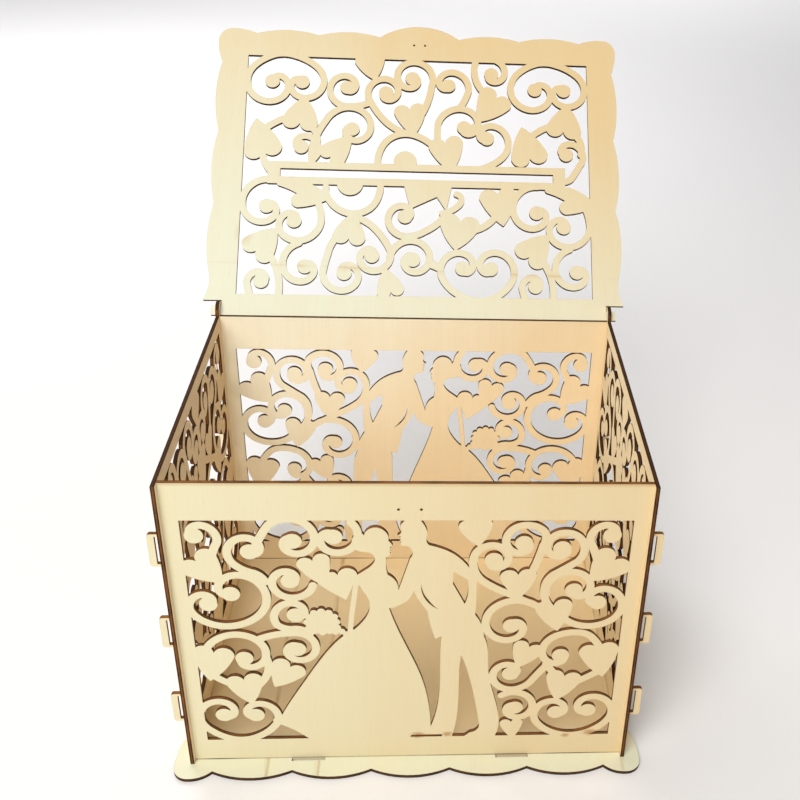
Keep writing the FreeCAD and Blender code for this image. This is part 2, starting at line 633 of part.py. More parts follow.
def lid_outline():
    """Return the lid's face, drawn upright with its pivot line on the X axis."""
    half_x = size("case_width") / 2 + size("lid_side_overhang")
    front = size("lid_length")
    depth = size("lid_scallop")
    cusp_x = half_x - size("lid_corner")
    cusp_s = front - size("lid_corner")
    lobe = size("lid_lobe_width") / 2
    in_x = half_x - depth
    in_s = front - depth
    tab = size("pivot_tab") / 2
    notch = worth(EAR_RADIUS) + size("ear_gap")
    inside = worth(PANEL_HALF) - size("ear_gap")
    tab_end = size("case_width") / 2 + size("pivot_reach")
    right = [Vector(tab_end, -tab, 0), Vector(tab_end, tab, 0), Vector(inside, tab, 0),
             Vector(inside, notch, 0), Vector(half_x, notch, 0)]
    left = [Vector(-spot.x, spot.y, 0) for spot in reversed(right)]
    cusp = Vector(in_x, size("lid_flare"), 0)
    edges = [Part.LineSegment(here, there).toShape() for here, there in zip(right, right[1:])]
    hollow = (right[-1] + cusp) * 0.5 + Vector(-depth * 0.3, 0, 0)
    edges.append(Part.Arc(right[-1], hollow, cusp).toShape())
    edges += scalloped_edge(cusp, Vector(in_x, cusp_s, 0), 3, depth)
    edges += corner_lobe(Vector(in_x, cusp_s, 0), Vector(half_x, front, 0), Vector(cusp_x, in_s, 0),
                         size("corner_round"))
    edges += scalloped_edge(Vector(cusp_x, in_s, 0), Vector(lobe, in_s, 0), 2, depth)
    edges += scalloped_edge(Vector(lobe, in_s, 0), Vector(-lobe, in_s, 0), 1, depth + size("lid_lobe_rise"))
    edges += scalloped_edge(Vector(-lobe, in_s, 0), Vector(-cusp_x, in_s, 0), 2, depth)
    edges += corner_lobe(Vector(-cusp_x, in_s, 0), Vector(-half_x, front, 0), Vector(-in_x, cusp_s, 0),
                         size("corner_round"))
    far_cusp = Vector(-in_x, size("lid_flare"), 0)
    edges += scalloped_edge(Vector(-in_x, cusp_s, 0), far_cusp, 3, depth)
    edges.append(Part.Arc(far_cusp, Vector(-hollow.x, hollow.y, 0), left[0]).toShape())
    edges += [Part.LineSegment(here, there).toShape() for here, there in zip(left, left[1:] + right[:1])]
    stand_up = FreeCAD.Matrix()
    stand_up.rotateX(math.pi / 2)
    return Part.Face(Part.Wire(edges)).transformed(stand_up, copy=True)


def front_fretwork():
    """Return the openings of the front and back panels' window."""
    half = worth(PANEL_HALF) - size("front_rim_side")
    window = (-half, size("front_rim_bottom"), half, size("wall_height") - size("front_rim_top"))
    fret = Fretwork((-128.2, 20.2, 128.2, 193.1), window)
    left_scrolls(fret)
    right_scrolls(fret)
    couple(fret)
    return fret.openings()


def side_fretwork():
    """Return the openings of a side panel's window."""
    half = size("side_depth") / 2 - size("side_rim_end")
    window = (-half, size("side_rim_bottom"), half, size("wall_height") - size("side_rim_top"))
    middle = 38.0
    edge = 128.2
    fret = Fretwork((2 * middle - edge, 20.2, edge, 193.1), window)
    side_scrolls(fret, middle)
    return fret.openings()


def lid_fretwork():
    """Return the openings of the lid's window, round the bar that holds the card slot."""
    half = size("case_width") / 2 + size("lid_side_overhang") - size("lid_rim_side")
    window = (-half, size("lid_rim_rear"), half, size("lid_length") - size("lid_rim_front"))
    fret = Fretwork((-127.6, 12.5, 127.6, 201.5), window)
    lid_scrolls(fret)
    bar_half = max(fret.place((BAR_END, 0)).x, size("slot_length") / 2 + size("slot_border"))
    bar_rise = size("slot_width") / 2 + size("slot_border")
    low = worth(CARD_SLOT_PLACE) - bar_rise
    bar = Part.makePlane(2 * bar_half, 2 * bar_rise, on_wall(-bar_half, low), Vector(0, -1, 0), Vector(1, 0, 0))
    fret.pieces.append(bar)
    return fret.openings()


def outer_tab_edges(shape, reach):
    """Return the names of the tabs' outer corner edges."""
    names = []
    for number, edge in enumerate(shape.Edges, start=1):
        ends = [vertex.Point for vertex in edge.Vertexes]
        across = len(ends) == 2 and abs(ends[0].y - ends[1].y) > 0.9 * size("ply_thickness")
        if across and all(abs(abs(end.x) - reach) < 1e-4 for end in ends):
            names.append(f"Edge{number}")
    return names


def fretted_wall(label, fretwork, latch):
    """Make a front or back panel: tabs, feet, key slots, fretwork and any latch holes."""
    body = new_body(label)
    blank = new_sketch(body, f"{label}_blank", "XZ_Plane")
    add_box(blank, f"-{PANEL_HALF}", "0", f"2 * {PANEL_HALF}", "Sizes.wall_height")
    pad(body, f"{label}_sheet", blank)
    tabs = new_sketch(body, f"{label}_tabs", "XZ_Plane")
    reach = f"({HALF_WIDTH} + Sizes.tab_reach)"
    rows = [f"(Sizes.wall_height / 2 + {step} * Sizes.tab_spacing)" for step in (-1, 0, 1)]
    for row in rows:
        add_box(tabs, f"-{reach}", f"{row} - Sizes.tab_length / 2", f"2 * {reach}", "Sizes.tab_length")
    tab_pad = pad(body, f"{label}_tab_pad", tabs)
    rounding = body.newObject("PartDesign::Fillet", f"{label}_tab_round")
    rounding.Base = (tab_pad, outer_tab_edges(tab_pad.Shape, worth(reach)))
    rounding.setExpression("Radius", "Sizes.tab_round")
    doc.recompute()
    feet = new_sketch(body, f"{label}_feet", "XZ_Plane")
    for hand in (-1, 1):
        left = f"{hand} * Sizes.front_foot_pitch / 2 - Sizes.foot_length / 2"
        add_box(feet, left, "-Sizes.ply_thickness", "Sizes.foot_length", "2 * Sizes.ply_thickness")
    pad(body, f"{label}_foot_pad", feet)
    keys = new_sketch(body, f"{label}_keys", "XZ_Plane")
    for row in rows:
        low = f"{row} - Sizes.tab_length / 2 + Sizes.key_slot_wall"
        height = "Sizes.tab_length - 2 * Sizes.key_slot_wall"
        add_box(keys, HALF_WIDTH, low, "Sizes.key_slot_width", height)
        add_box(keys, f"-({HALF_WIDTH} + Sizes.key_slot_width)", low, "Sizes.key_slot_width", height)
    cut_through(body, f"{label}_key_slots", keys)
    if latch:
        holes = new_sketch(body, f"{label}_latch", "XZ_Plane")
        for hand in (-1, 1):
            add_circle(holes, f"{hand} * Sizes.case_latch_pitch / 2",
                       "Sizes.wall_height - Sizes.case_latch_drop", "Sizes.latch_hole / 2")
        cut_through(body, f"{label}_latch_holes", holes)
    cut_through(body, f"{label}_fretwork", bound_profile(body, f"{label}_drawing", fretwork))
    return body


def side_panel(label, fretwork):
    """Make a side panel: ear and pivot hole, slots for the tabs, feet and fretwork."""
    body = new_body(label)
    blank = new_sketch(body, f"{label}_blank", "XZ_Plane")
    add_box(blank, "-Sizes.side_depth / 2", "0", "Sizes.side_depth", "Sizes.wall_height")
    pad(body, f"{label}_sheet", blank)
    pivot_up = f"(Sizes.wall_height + {PIVOT_RISE})"
    ear = new_sketch(body, f"{label}_ear", "XZ_Plane")
    add_circle(ear, PIVOT_Y, pivot_up, EAR_RADIUS)
    pad(body, f"{label}_ear_pad", ear)
    root = new_sketch(body, f"{label}_ear_root", "XZ_Plane")
    add_box(root, PIVOT_Y, "Sizes.wall_height - Sizes.ear_wall", EAR_RADIUS, f"{PIVOT_RISE} + Sizes.ear_wall")
    pad(body, f"{label}_ear_root_pad", root)
    feet = new_sketch(body, f"{label}_feet", "XZ_Plane")
    for hand in (-1, 1):
        left = f"{hand} * Sizes.side_foot_pitch / 2 - Sizes.foot_length / 2"
        add_box(feet, left, "-Sizes.ply_thickness", "Sizes.foot_length", "2 * Sizes.ply_thickness")
    pad(body, f"{label}_foot_pad", feet)
    holes = new_sketch(body, f"{label}_slots", "XZ_Plane")
    add_circle(holes, PIVOT_Y, pivot_up, PIVOT_HOLE)
    for face in (f"{FRONT_FACE_Y} - Sizes.fit_gap", f"{BACK_FACE_Y} - Sizes.ply_thickness - Sizes.fit_gap"):
        for step in (-1, 0, 1):
            low = (f"Sizes.wall_height / 2 + {step} * Sizes.tab_spacing"
                   " - Sizes.tab_length / 2 - Sizes.fit_gap")
            add_box(holes, face, low, SLOT_WIDTH, "Sizes.tab_length + 2 * Sizes.fit_gap")
    cut_through(body, f"{label}_slot_cut", holes)
    cut_through(body, f"{label}_fretwork", bound_profile(body, f"{label}_drawing", fretwork))
    return body


def base_plate():
    """Make the scalloped base with slots for the feet of the walls."""
    body = new_body("base_plate")
    outline = bound_profile(body, "base_outline", drawn("base_drawing", base_outline()))
    pad(body, "base_sheet", outline)
    slots = new_sketch(body, "base_slots", "XY_Plane")
    length = "Sizes.foot_length + 2 * Sizes.fit_gap"
    deep = f"{SLOT_WIDTH} + Sizes.foot_room"
    front = f"{FRONT_FACE_Y} - Sizes.fit_gap - Sizes.foot_room"
    rear = f"{BACK_FACE_Y} - Sizes.ply_thickness - Sizes.fit_gap"
    for hand in (-1, 1):
        left = f"{hand} * Sizes.front_foot_pitch / 2 - Sizes.foot_length / 2 - Sizes.fit_gap"
        add_box(slots, left, front, length, deep)
        add_box(slots, left, rear, length, deep)
        low = f"{hand} * Sizes.side_foot_pitch / 2 - Sizes.foot_length / 2 - Sizes.fit_gap"
        add_box(slots, f"-{HALF_WIDTH} - Sizes.fit_gap", low, SLOT_WIDTH, length)
        add_box(slots, f"{PANEL_HALF} - Sizes.fit_gap", low, SLOT_WIDTH, length)
    cut_through(body, "base_slot_cut", slots)
    return body


def lid():
    """Make the lid: scalloped outline, pivot tabs, fretwork, card slot and latch holes."""
    body = new_body("lid")
    outline = bound_profile(body, "lid_outline", drawn("lid_drawing", lid_outline()))
    pad(body, "lid_sheet", outline, centred=True)
    slot = new_sketch(body, "card_slot", "XZ_Plane")
    add_box(slot, "-Sizes.slot_length / 2", f"{CARD_SLOT_PLACE} - Sizes.slot_width / 2",
            "Sizes.slot_length", "Sizes.slot_width")
    cut_through(body, "card_slot_cut", slot)
    holes = new_sketch(body, "lid_latch", "XZ_Plane")
    for hand in (-1, 1):
        add_circle(holes, f"{hand} * Sizes.lid_latch_pitch / 2",
                   "Sizes.lid_length - Sizes.lid_latch_setback", "Sizes.latch_hole / 2")
    cut_through(body, "lid_latch_holes", holes)
    fretwork = drawn("lid_fretwork_drawing", lid_fretwork())
    cut_through(body, "lid_fretwork", bound_profile(body, "lid_fretwork_outline", fretwork))
    return body


def set_place(body, rotation, **places):
    """Turn a body and tie its place to the sheet."""
    body.Placement = Placement(Vector(0, 0, 0), rotation)
    for axis, expression in places.items():
        body.setExpression(f"Placement.Base.{axis}", expression)


front_drawing = drawn("front_drawing", front_fretwork())
side_drawing = drawn("side_drawing", side_fretwork())
upright = Rotation(Vector(0, 0, 1), 0)
turned_round = Rotation(Vector(0, 0, 1), 180)
turned_side = Rotation(Vector(0, 0, 1), 90)
lean_back = Rotation(Vector(-1, 0, 0), size("lid_lean"))

bodies = [
    base_plate(),
    fretted_wall("front_panel", front_drawing, latch=True),
    fretted_wall("back_panel", front_drawing, latch=False),
    side_panel("left_side_panel", side_drawing),
    side_panel("right_side_panel", side_drawing),
    lid(),
]
base, front, back, left_side, right_side, top = bodies
set_place(front, upright, y=f"{FRONT_FACE_Y} + Sizes.ply_thickness", z="Sizes.ply_thickness")
set_place(back, turned_round, y=f"{BACK_FACE_Y} - Sizes.ply_thickness", z="Sizes.ply_thickness")
set_place(left_side, turned_side, x=f"-{HALF_WIDTH}", z="Sizes.ply_thickness")
set_place(right_side, turned_side, x=PANEL_HALF, z="Sizes.ply_thickness")
set_place(top, lean_back, y=PIVOT_Y, z=PIVOT_Z)
doc.recompute()

for thing in doc.Objects:
    if "Invalid" in thing.State or "Error" in thing.State:
        raise RuntimeError(f"{thing.Label} failed to build")
for body in bodies:
    shape = body.Shape
    if shape.isNull() or not shape.isValid() or len(shape.Solids) != 1:
        raise RuntimeError(f"{body.Label} isn't one valid solid ({len(shape.Solids)} solids)")

os.makedirs("parts", exist_ok=True)
for body in bodies:
    body.Shape.exportStep(f"parts/{body.Label}.step")
print("pivot line at y", round(worth(PIVOT_Y), 3), "z", round(worth(PIVOT_Z), 3))
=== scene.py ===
"""Looks of a laser-cut plywood card box: veneered faces, scorched cuts, soft studio light and the camera."""

import json
import logging
import math
from dataclasses import dataclass
from enum import Enum
from typing import Any, Union

import bpy
from mathutils import Matrix, Vector

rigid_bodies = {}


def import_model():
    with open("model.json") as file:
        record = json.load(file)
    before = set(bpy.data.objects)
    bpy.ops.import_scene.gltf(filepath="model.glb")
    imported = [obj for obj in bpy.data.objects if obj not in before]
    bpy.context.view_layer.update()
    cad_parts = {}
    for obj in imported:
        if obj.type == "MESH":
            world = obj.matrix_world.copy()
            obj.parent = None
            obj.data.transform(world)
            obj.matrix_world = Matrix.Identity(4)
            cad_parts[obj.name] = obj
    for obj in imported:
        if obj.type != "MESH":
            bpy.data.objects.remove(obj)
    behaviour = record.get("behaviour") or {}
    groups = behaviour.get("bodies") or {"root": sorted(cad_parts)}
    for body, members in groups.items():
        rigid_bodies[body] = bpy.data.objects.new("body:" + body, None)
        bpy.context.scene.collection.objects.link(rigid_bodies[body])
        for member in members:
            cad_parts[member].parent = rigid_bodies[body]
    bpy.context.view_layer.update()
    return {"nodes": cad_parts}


LOG = logging.getLogger("card_box")
MM = 0.001
Number = Union[int, float]
Rgb = tuple[float, float, float]
Point = tuple[float, float, float]
Span = tuple[float, float]
BOX_MIDDLE: Point = (0.0, 0.0, 0.15)
WARM_TINT: Rgb = (1.0, 0.975, 0.945)
COOL_TINT: Rgb = (0.97, 0.975, 1.0)

# The middle of noise that runs from 0 to 1
NOISE_MIDDLE = 0.5
# The least cosine between two directions that count as one
SAME_WAY = 0.5
# What keeps the figures of a panel's two faces apart
FACE_SEED = 3.7
# The sockets of a Mix node that mixes colours, by place
MIX_SHARE, MIX_FIRST, MIX_SECOND, MIX_RESULT = 0, 6, 7, 2


class Way(Enum):
    """A direction in the box's frame."""

    @property
    def vector(self) -> Vector:
        """Return the direction as a unit vector."""
        return Vector(self.value)


class Face(Way):
    """The way that a panel's veneered face looks."""

    FRONT = (0.0, -1.0, 0.0)
    BACK = (0.0, 1.0, 0.0)
    LEFT = (-1.0, 0.0, 0.0)
    RIGHT = (1.0, 0.0, 0.0)
    UP = (0.0, 0.0, 1.0)


class Fibre(Way):
    """The way that a panel's face fibres run."""

    UPRIGHT = (0.0, 0.0, 1.0)
    ALONG_DEPTH = (0.0, 1.0, 0.0)


class Value:
    """A shader socket that takes part in Python expressions."""

    def __init__(self, graph: "ShaderGraph", socket: bpy.types.NodeSocket | None) -> None:
        """Hold a socket and the graph that it belongs to."""
        self.graph = graph
        self.socket = socket

    def _join(self, operation: str, first: "Operand", second: "Operand") -> "Value":
        """Return a Math node's result on two operands."""
        return self.graph.node("ShaderNodeMath", {"operation": operation}, {0: first, 1: second})

    def __add__(self, other: "Operand") -> "Value":
        """Return the sum."""
        return self._join("ADD", self, other)

    def __radd__(self, other: "Operand") -> "Value":
        """Return the sum."""
        return self._join("ADD", other, self)

    def __sub__(self, other: "Operand") -> "Value":
        """Return the difference."""
        return self._join("SUBTRACT", self, other)

    def __rsub__(self, other: "Operand") -> "Value":
        """Return the difference."""
        return self._join("SUBTRACT", other, self)

    def __mul__(self, other: "Operand") -> "Value":
        """Return the product."""
        return self._join("MULTIPLY", self, other)

    def __rmul__(self, other: "Operand") -> "Value":
        """Return the product."""
        return self._join("MULTIPLY", other, self)

    def __abs__(self) -> "Value":
        """Return the size without its sign."""
        return self.graph.node("ShaderNodeMath", {"operation": "ABSOLUTE"}, {0: self})

    def over(self, edge: "Operand") -> "Value":
        """Return 1 where the value passes an edge, and 0 elsewhere."""
        return self._join("GREATER_THAN", self, edge)

    def rise(self, low: Number, high: Number) -> "Value":
        """Return a smooth step from 0 at low to 1 at high.

        Args:
            low: where the step starts.
            high: where it ends.

        Returns:
            The step.
        """
        settings = {"interpolation_type": "SMOOTHSTEP", "clamp": True}
        inputs = {"Value": self, "From Min": low, "From Max": high}
        return self.graph.node("ShaderNodeMapRange", settings, inputs)

    def fall(self, low: Number, high: Number) -> "Value":
        """Return a smooth step from 1 at low to 0 at high."""
        return 1 - self.rise(low, high)


Operand = Union[Value, Number]


class ShaderGraph:
    """The node tree of a material or a world, built by expressions."""

    def __init__(self, owner: Union[bpy.types.Material, bpy.types.World]) -> None:
        """Empty the node tree of a material or a world.

        Args:
            owner: the material or the world.
        """
        owner.use_nodes = True
        self.tree = owner.node_tree
        self.tree.nodes.clear()

    def node(self, kind: str, settings: dict[str, Any] | None = None,
             inputs: dict[Union[str, int], Any] | None = None, output: Union[str, int] = 0) -> Value:
        """Add a node.

        Args:
            kind: the node's type.
            settings: its own settings, which are set first.
            inputs: values or links for its sockets, by name or place.
            output: the socket to return.

        Returns:
            One of the node's outputs, or an empty value for a node that has none.
        """
        made = self.tree.nodes.new(kind)
        for key, setting in (settings or {}).items():
            setattr(made, key, setting)
        for key, given in (inputs or {}).items():
            if isinstance(given, Value):
                self.tree.links.new(given.socket, made.inputs[key])
            else:
                made.inputs[key].default_value = given
        return Value(self, made.outputs[output] if made.outputs else None)

    def mix(self, share: Operand, first: Union[Value, Rgb], second: Union[Value, Rgb]) -> Value:
        """Return a blend of two colours.

        Args:
            share: how much of the second colour there is.
            first: the colour at share 0.
            second: the colour at share 1.

        Returns:
            The blended colour.
        """
        sides = [side if isinstance(side, Value) else (*side, 1.0) for side in (first, second)]
        settings = {"data_type": "RGBA", "blend_type": "MIX", "clamp_factor": True}
        inputs = {MIX_SHARE: share, MIX_FIRST: sides[0], MIX_SECOND: sides[1]}
        return self.node("ShaderNodeMix", settings, inputs, MIX_RESULT)

    def dot(self, vector: Value, direction: Union[Value, Vector]) -> Value:
        """Return how far a vector reaches along a direction."""
        given = direction if isinstance(direction, Value) else tuple(direction)
        return self.node("ShaderNodeVectorMath", {"operation": "DOT_PRODUCT"}, {0: vector, 1: given}, "Value")

    def stack(self, x: Operand, y: Operand, z: Operand) -> Value:
        """Return a vector made of three numbers."""
        return self.node("ShaderNodeCombineXYZ", None, {"X": x, "Y": y, "Z": z})

    def noise(self, place: Value, scale: float, detail: float, roughness: float) -> Value:
        """Return smooth noise from 0 to 1."""
        inputs = {"Vector": place, "Scale": scale, "Detail": detail, "Roughness": roughness}
        return self.node("ShaderNodeTexNoise", {"noise_dimensions": "3D"}, inputs, "Fac")


@dataclass(frozen=True)
class Mottle:
    """Noise that is alike in all directions: its rate per metre, its detail and its roughness."""

    rate: float
    detail: float
    roughness: float = 0.5

    def draw(self, graph: ShaderGraph, place: Value) -> Value:
        """Return the noise at a point, from 0 to 1."""
        return graph.noise(place, self.rate, self.detail, self.roughness)


@dataclass(frozen=True)
class Grain:
    """Noise drawn out one way: its rates along and across that way per metre, and a seed of its own."""

    along: float
    across: float
    detail: float
    roughness: float = 0.5
    seed: float = 0.0

    def draw(self, graph: ShaderGraph, along: Value, across: Value, side: Operand = 0.0) -> Value:
        """Return the noise at a point.

        Args:
            graph: the material's graph.
            along: place along the way that the noise is drawn out.
            across: place across it.
            side: a number of the face's own.

        Returns:
            The noise, from 0 to 1.
        """
        place = graph.stack(along * self.along, across * self.across, side + self.seed)
        return graph.noise(place, 1.0, self.detail, self.roughness)


@dataclass(frozen=True)
class Trace:
    """How a pattern shows: where it starts, where it is full, and its share of the colour there."""

    start: float
    full: float
    share: float = 1.0

    def of(self, pattern: Value) -> Value:
        """Return how strongly the pattern shows at each point."""
        return pattern.rise(self.start, self.full) * self.share


# Layers of a veneered face
SWAY = Grain(3.0, 5.0, 1.0)
BANDS = Grain(1.6, 34.0, 3.0, 0.6)
BLUSH = Grain(4.0, 6.0, 2.0, seed=17.0)
FIBRES = Grain(26.0, 1500.0, 2.0, 0.65)
FLECK_TRACE = Trace(0.45, 0.85, 0.13)
PORES = Grain(75.0, 900.0, 1.0, seed=5.0)
PORE_TRACE = Trace(0.66, 0.78, 0.12)
STREAKS = Grain(2.2, 60.0, 2.0, seed=11.0)
STREAK_TRACE = Trace(0.64, 0.8, 0.16)
MINERALS = Grain(45.0, 300.0, 2.0)
MINERAL_TRACE = Trace(0.3, 0.75, 0.72)
STAINS = Grain(40.0, 40.0, 2.0, seed=2.0)
STAIN_TRACE = Trace(0.42, 0.72)

# Layers of heat, on the faces and on the cuts
HAZE = Mottle(22.0, 3.0)
HAZE_TRACE = Trace(0.42, 0.72)
FLARES = Mottle(60.0, 1.0)
FLARE_TRACE = Trace(0.66, 0.78, 0.6)
SINGES = Grain(30.0, 0.0, 2.0, seed=4.0)
CRUST = Mottle(900.0, 3.0, 0.6)
CRUST_TRACE = Trace(0.5, 0.85, 0.3)
PATCHES = Mottle(90.0, 2.0)
PATCH_TRACE = Trace(0.3, 0.7)


@dataclass(frozen=True)
class Scorch:
    """A heat mark on a face: its place across and along the fibres, and its reach, in metres.

    squash makes it wider than it is tall, ragged is how uneven its edge is and fade is where it thins out,
    both as shares of its reach, and strength is its share of the colour.
    """

    across: float
    along: float
    reach: float
    squash: float = 0.55
    ragged: float = 1.3
    fade: Span = (0.05, 0.8)
    strength: float = 0.78

    def draw(self, graph: ShaderGraph, along: Value, across: Value) -> Value:
        """Return how strong the mark is.

        Args:
            graph: the material's graph.
            along: place along the fibres.
            across: place across them.

        Returns:
            Its share of the colour.
        """
        spread = graph.stack((across - self.across) * self.squash, along - self.along, 0.0)
        off = graph.node("ShaderNodeVectorMath", {"operation": "LENGTH"}, {0: spread}, "Value")
        edge = off + (CRUST.draw(graph, spread) - NOISE_MIDDLE) * self.reach * self.ragged
        full, gone = self.fade
        return edge.fall(self.reach * full, self.reach * gone) * self.strength


@dataclass(frozen=True)
class Char:
    """A cut edge: the colours of its dark crust, its brown patches and its paler middle ply.

    core_half is half of the middle ply's thickness, core_fade is where it ends, as shares of that, and
    core_least and core_patchy are how far it shows through, at least and by the patches.
    """

    dark: Rgb
    brown: Rgb
    core: Rgb
    core_half: float = 0.42 * MM
    core_fade: Span = (0.75, 1.15)
    core_least: float = 0.35
    core_patchy: float = 0.5

    def paint(self, graph: ShaderGraph, place: Value, depth: Value, normal: Value,
              rim: float) -> tuple[Value, Value]:
        """Return the colour and the crust of a cut edge.

        Args:
            graph: the material's graph.
            place: the point on the piece.
            depth: place through the sheet, from its middle.
            normal: the way that the point looks.
            rim: how much darker the upper edges are, from 0 to 1.

        Returns:
            The cut's colour, and its crust from 0 to 1.
        """
        crust = CRUST.draw(graph, place)
        patches = PATCHES.draw(graph, place)
        inner, outer = self.core_fade
        middle = abs(depth).fall(self.core_half * inner, self.core_half * outer)
        colour = graph.mix(PATCH_TRACE.of(patches), self.dark, self.brown)
        colour = graph.mix(middle * (self.core_least + self.core_patchy * patches), colour, self.core)
        colour = graph.mix(CRUST_TRACE.of(crust), colour, self.core)
        if rim:
            upper = graph.dot(normal, Face.UP.vector).over(SAME_WAY)
            colour = graph.mix(upper * rim, colour, self.dark)
        return colour, crust


BROWN_CHAR = Char((0.036, 0.0135, 0.0045), (0.145, 0.054, 0.0125), (0.31, 0.13, 0.036))
UMBER_CHAR = Char((0.030, 0.011, 0.004), (0.112, 0.04, 0.010), (0.26, 0.105, 0.03))
SEPIA_CHAR = Char((0.022, 0.008, 0.003), (0.084, 0.030, 0.0072), (0.19, 0.074, 0.019))
BLACK_CHAR = Char((0.022, 0.011, 0.0045), (0.056, 0.026, 0.010), (0.11, 0.052, 0.019))


@dataclass(frozen=True)
class PlywoodFinish:
    """Bare plywood whose edges were cut with heat; colours are linear, lengths are metres.

    pale and warm are the veneer's two ends. marks are mineral streaks by their place across the fibres,
    splice is where two sheets of veneer meet, by its place along the fibres, and slant is how far that line
    climbs across them. figure is how strongly the growth rings show, toast is how brown the fibres' upper
    end is, seam is how dark the line is where a wall stands on the base, rim is how much darker a cut is
    where it looks up, and seat is the height of the base's top. A fade is where a mark starts to thin out
    and where it ends. A share is how much of a mark there is at least, and how much its pattern adds.
    """

    pale: Rgb
    warm: Rgb
    marks: tuple[float, ...] = ()
    splice: float | None = None
    slant: float = 0.0
    scorches: tuple[Scorch, ...] = ()
    figure: float = 0.55
    toast: float = 0.0
    seam: float = 0.8
    rim: float = 0.0
    char: Char = BROWN_CHAR
    streak: Rgb = (0.60, 0.41, 0.19)
    fleck: Rgb = (0.66, 0.49, 0.26)
    mineral: Rgb = (0.40, 0.26, 0.07)
    smoke: Rgb = (0.50, 0.29, 0.10)
    flare: Rgb = (0.40, 0.17, 0.045)
    sway: float = 16.0 * MM
    blush: float = 0.35
    knot: float = 0.45
    knot_rate: Span = (6.0, 9.0)
    knot_fade: Span = (0.02, 0.075)
    mark_fade: Span = (0.3 * MM, 2.6 * MM)
    joint_fade: Span = (0.3 * MM, 0.9 * MM)
    joint_bleed: float = 4.5 * MM
    joint_share: Span = (0.08, 0.3)
    smoke_reach: float = 1.3 * MM
    smoke_turn: float = 0.3
    smoke_samples: int = 6
    smoke_share: Span = (0.18, 0.5)
    toast_fade: Span = (0.4 * MM, 2.6 * MM)
    toast_least: float = 0.4
    seat: float = 2.5 * MM
    seat_slack: float = 0.2 * MM
    seam_fade: Span = (0.4 * MM, 1.1 * MM)
    seam_share: Span = (0.5, 0.7)
    face_roughness: float = 0.44
    fibre_roughness: float = 0.12
    cut_roughness: float = 0.82
    fibre_relief: float = 0.35
    relief_depth: float = 0.06 * MM
    relief_strength: float = 0.35
    gloss: float = 0.15

    def build(self, name: str, sheet: "Sheet") -> bpy.types.Material:
        """Make the plywood of one panel.

        Args:
            name: the material's name.
            sheet: how the panel lies and how its veneer runs.

        Returns:
            The material.
        """
        material = bpy.data.materials.new(name)
        graph = ShaderGraph(material)
        place = graph.node("ShaderNodeTexCoord", output="Object")
        normal = graph.node("ShaderNodeTexCoord", output="Normal")
        along = graph.dot(place, sheet.fibre)
        across = graph.dot(place, sheet.fibre.cross(sheet.face))
        depth = graph.dot(place, sheet.face) - sheet.middle
        turn = graph.dot(normal, sheet.face)
        cut = 1 - abs(turn).over(SAME_WAY)
        side = sheet.seed + turn.over(0.0) * FACE_SEED
        # Veneer tone, and on the base and the back panel also painted light: there the pale-to-warm shift
        # stands in for warm bounce light and shade inside the box.
        tone_and_painted_light = graph.dot(place, sheet.warmer).rise(*sheet.warm_span)
        veneer, fibres = self._veneer(graph, along, across, side, tone_and_painted_light)
        marked = self._heat_marks(graph, veneer, along, across, sheet.fibre_end)
        scorched_with_seam_shade = self._scorch_and_seam_shade(graph, marked, place)
        charred, crust = self.char.paint(graph, place, depth, normal, self.rim)
        colour = graph.mix(cut, scorched_with_seam_shade, charred)
        face_rough = self.face_roughness + self.fibre_roughness * fibres
        rough = face_rough + cut * (self.cut_roughness - self.face_roughness)
        relief = fibres * (1 - cut) * self.fibre_relief + crust * cut
        bump = graph.node("ShaderNodeBump", None, {
            "Strength": self.relief_strength, "Distance": self.relief_depth, "Height": relief})
        shader = graph.node("ShaderNodeBsdfPrincipled", None, {
            "Base Color": colour, "Roughness": rough, "Normal": bump, "Specular IOR Level": self.gloss})
        graph.node("ShaderNodeOutputMaterial", None, {"Surface": shader})
        return material

    def _veneer(self, graph: ShaderGraph, along: Value, across: Value, side: Value,
                tone_and_painted_light: Value) -> tuple[Value, Value]:
        """Return the colour and the fine fibres of a veneered face.

        Args:
            graph: the material's graph.
            along: place along the fibres.
            across: place across them.
            side: a number of the panel's and the face's own.
            tone_and_painted_light: how far the face has turned from its pale colour to its warm one, from 0
                to 1; veneer tone, and on the base and the back panel also painted bounce light and painted
                shade.

        Returns:
            The face's colour, and its fibres from 0 to 1.
        """
        lines = across + (SWAY.draw(graph, along, across, side) - NOISE_MIDDLE) * self.sway
        bands = BANDS.draw(graph, along, lines, side)
        blush = BLUSH.draw(graph, along, across, side)
        fibres = FIBRES.draw(graph, along, lines, side)
        pores = PORE_TRACE.of(PORES.draw(graph, along, lines, side))
        streaks = STREAK_TRACE.of(STREAKS.draw(graph, along, lines, side))
        warmth = tone_and_painted_light + (bands - NOISE_MIDDLE) * self.figure + (blush - NOISE_MIDDLE) * self.blush
        colour = graph.mix(warmth, self.pale, self.warm)
        colour = graph.mix(FLECK_TRACE.of(fibres), colour, self.fleck)
        colour = graph.mix(pores, colour, self.streak)
        colour = graph.mix(streaks, colour, self.streak)
        colour = graph.mix(self._knots(graph, along, across, side) * self.knot, colour, self.streak)
        for mark in self.marks:
            colour = graph.mix(self._mark(graph, along, lines, mark), colour, self.mineral)
        if self.splice is not None:
            colour = graph.mix(self._joint(graph, along, across), colour, self.streak)
        return colour, fibres

    def _mark(self, graph: ShaderGraph, along: Value, lines: Value, mark: float) -> Value:
        """Return how strong a mineral streak along the fibres is.

        Args:
            graph: the material's graph.
            along: place along the fibres.
            lines: place across them, swaying as they do.
            mark: the streak's place across them.

        Returns:
            Its share of the colour.
        """
        middle = abs(lines - mark).fall(*self.mark_fade)
        return middle * MINERAL_TRACE.of(MINERALS.draw(graph, along, lines, mark))

